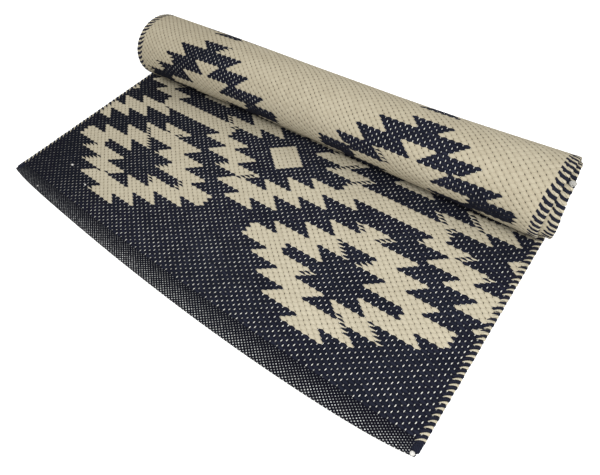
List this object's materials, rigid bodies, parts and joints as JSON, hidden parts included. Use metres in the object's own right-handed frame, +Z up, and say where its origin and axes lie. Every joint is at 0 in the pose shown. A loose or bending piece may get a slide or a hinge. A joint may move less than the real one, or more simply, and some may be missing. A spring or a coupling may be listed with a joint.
{
  "type": "kilim rug, partly rolled",
  "caption": "Reversible two-colour cotton kilim rug, its front part flat on the floor and the rest wound into a loose hollow roll.",
  "frame": {"origin": "middle of the underside of the rug's bounding box, on the floor", "axes": "+X across the rug's width, +Y from the front edge towards the roll, +Z up"},
  "size_m": [1.2128, 0.6736, 0.1799],
  "materials": {
    "woven_cotton": "flat-woven cotton, navy ground with cream figures on its face and the colours changed over on its reverse"
  },
  "bodies": {
    "root": {"rug_panel": "woven_cotton"}
  },
  "joints": []
}
